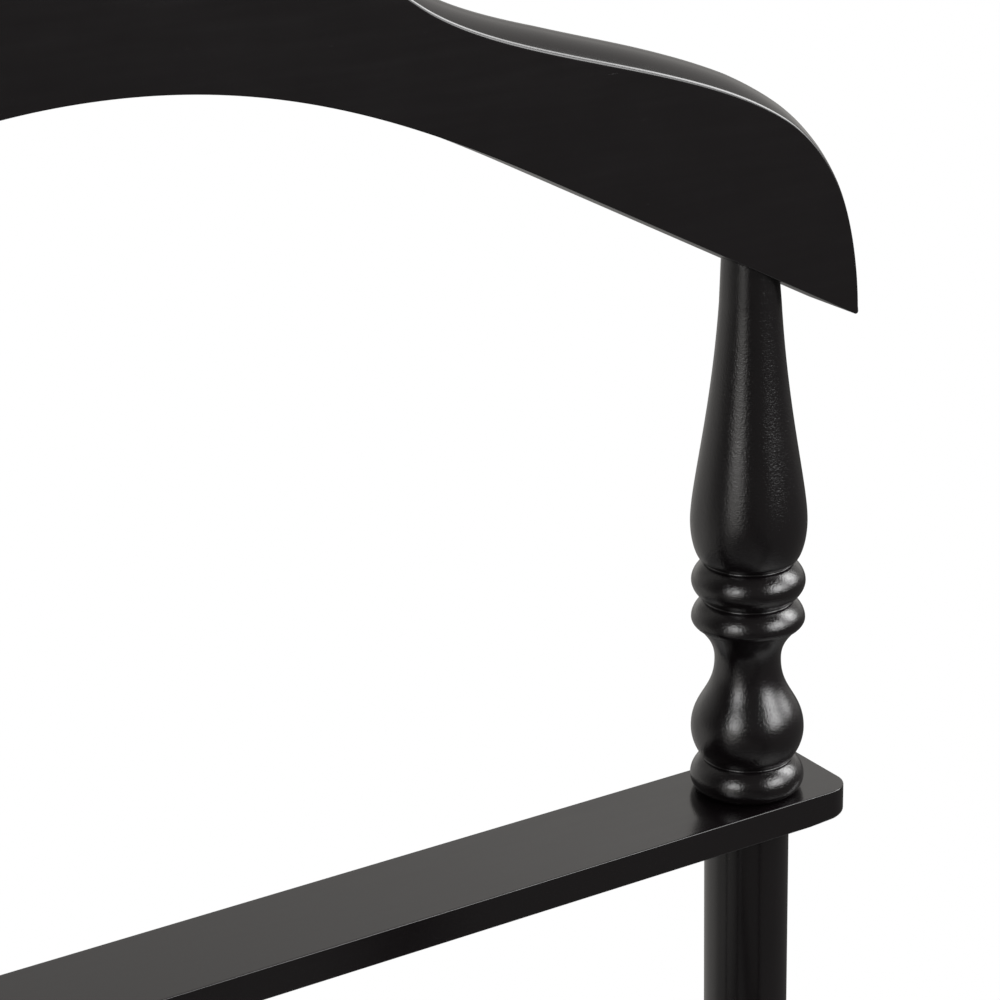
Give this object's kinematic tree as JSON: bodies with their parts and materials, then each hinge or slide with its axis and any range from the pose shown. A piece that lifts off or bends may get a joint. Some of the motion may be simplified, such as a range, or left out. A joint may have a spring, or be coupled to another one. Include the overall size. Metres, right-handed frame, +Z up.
{
  "type": "double valet stand",
  "caption": "Free-standing wooden valet stand: a tall and a low hanger frame with turned spindles, trouser rails, a tray and shoe bars on sled feet.",
  "frame": {"origin": "on the floor, under the middle of the sled feet", "axes": "+Z up, +X to the right across both frames, +Y from the low front frame to the tall rear frame"},
  "size_m": [0.4644, 0.42, 1.104],
  "materials": {
    "black_lacquer": "satin black lacquer over close-grained hardwood",
    "zinc_steel": "bright zinc plate",
    "black_nylon": "moulded matt"
  },
  "bodies": {
    "root": {"rear_hanger": "black_lacquer", "rear_trouser_rail": "black_lacquer", "rear_left_spindle": "black_lacquer", "rear_left_post": "black_lacquer", "rear_left_spindle_stud": "zinc_steel", "rear_left_post_top_nut": "zinc_steel", "rear_left_post_foot_nut": "zinc_steel", "rear_left_base_bolt": "zinc_steel", "rear_left_bearer_bolt": "zinc_steel", "rear_left_barrel_nut": "zinc_steel", "rear_left_tray_screw": "zinc_steel", "rear_left_glide": "black_nylon", "rear_right_spindle": "black_lacquer", "rear_right_post": "black_lacquer", "rear_right_spindle_stud": "zinc_steel", "rear_right_post_top_nut": "zinc_steel", "rear_right_post_foot_nut": "zinc_steel", "rear_right_base_bolt": "zinc_steel", "rear_right_bearer_bolt": "zinc_steel", "rear_right_barrel_nut": "zinc_steel", "rear_right_tray_screw": "zinc_steel", "rear_right_glide": "black_nylon", "front_hanger": "black_lacquer", "front_trouser_rail": "black_lacquer", "front_left_spindle": "black_lacquer", "front_left_post": "black_lacquer", "front_left_spindle_stud": "zinc_steel", "front_left_post_top_nut": "zinc_steel", "front_left_post_foot_nut": "zinc_steel", "front_left_base_bolt": "zinc_steel", "front_left_bearer_bolt": "zinc_steel", "front_left_barrel_nut": "zinc_steel", "front_left_tray_screw": "zinc_steel", "front_left_glide": "black_nylon", "front_right_spindle": "black_lacquer", "front_right_post": "black_lacquer", "front_right_spindle_stud": "zinc_steel", "front_right_post_top_nut": "zinc_steel", "front_right_post_foot_nut": "zinc_steel", "front_right_base_bolt": "zinc_steel", "front_right_bearer_bolt": "zinc_steel", "front_right_barrel_nut": "zinc_steel", "front_right_tray_screw": "zinc_steel", "front_right_glide": "black_nylon", "left_sled_foot": "black_lacquer", "left_tray_bearer": "black_lacquer", "right_sled_foot": "black_lacquer", "right_tray_bearer": "black_lacquer", "shoe_bar_1": "black_lacquer", "shoe_bar_2": "black_lacquer", "shoe_bar_3": "black_lacquer", "shoe_bar_4": "black_lacquer", "tray_floor": "black_lacquer", "tray_front_lip": "black_lacquer", "tray_rear_lip": "black_lacquer", "tray_left_lip": "black_lacquer", "tray_right_lip": "black_lacquer"}
  },
  "joints": []
}
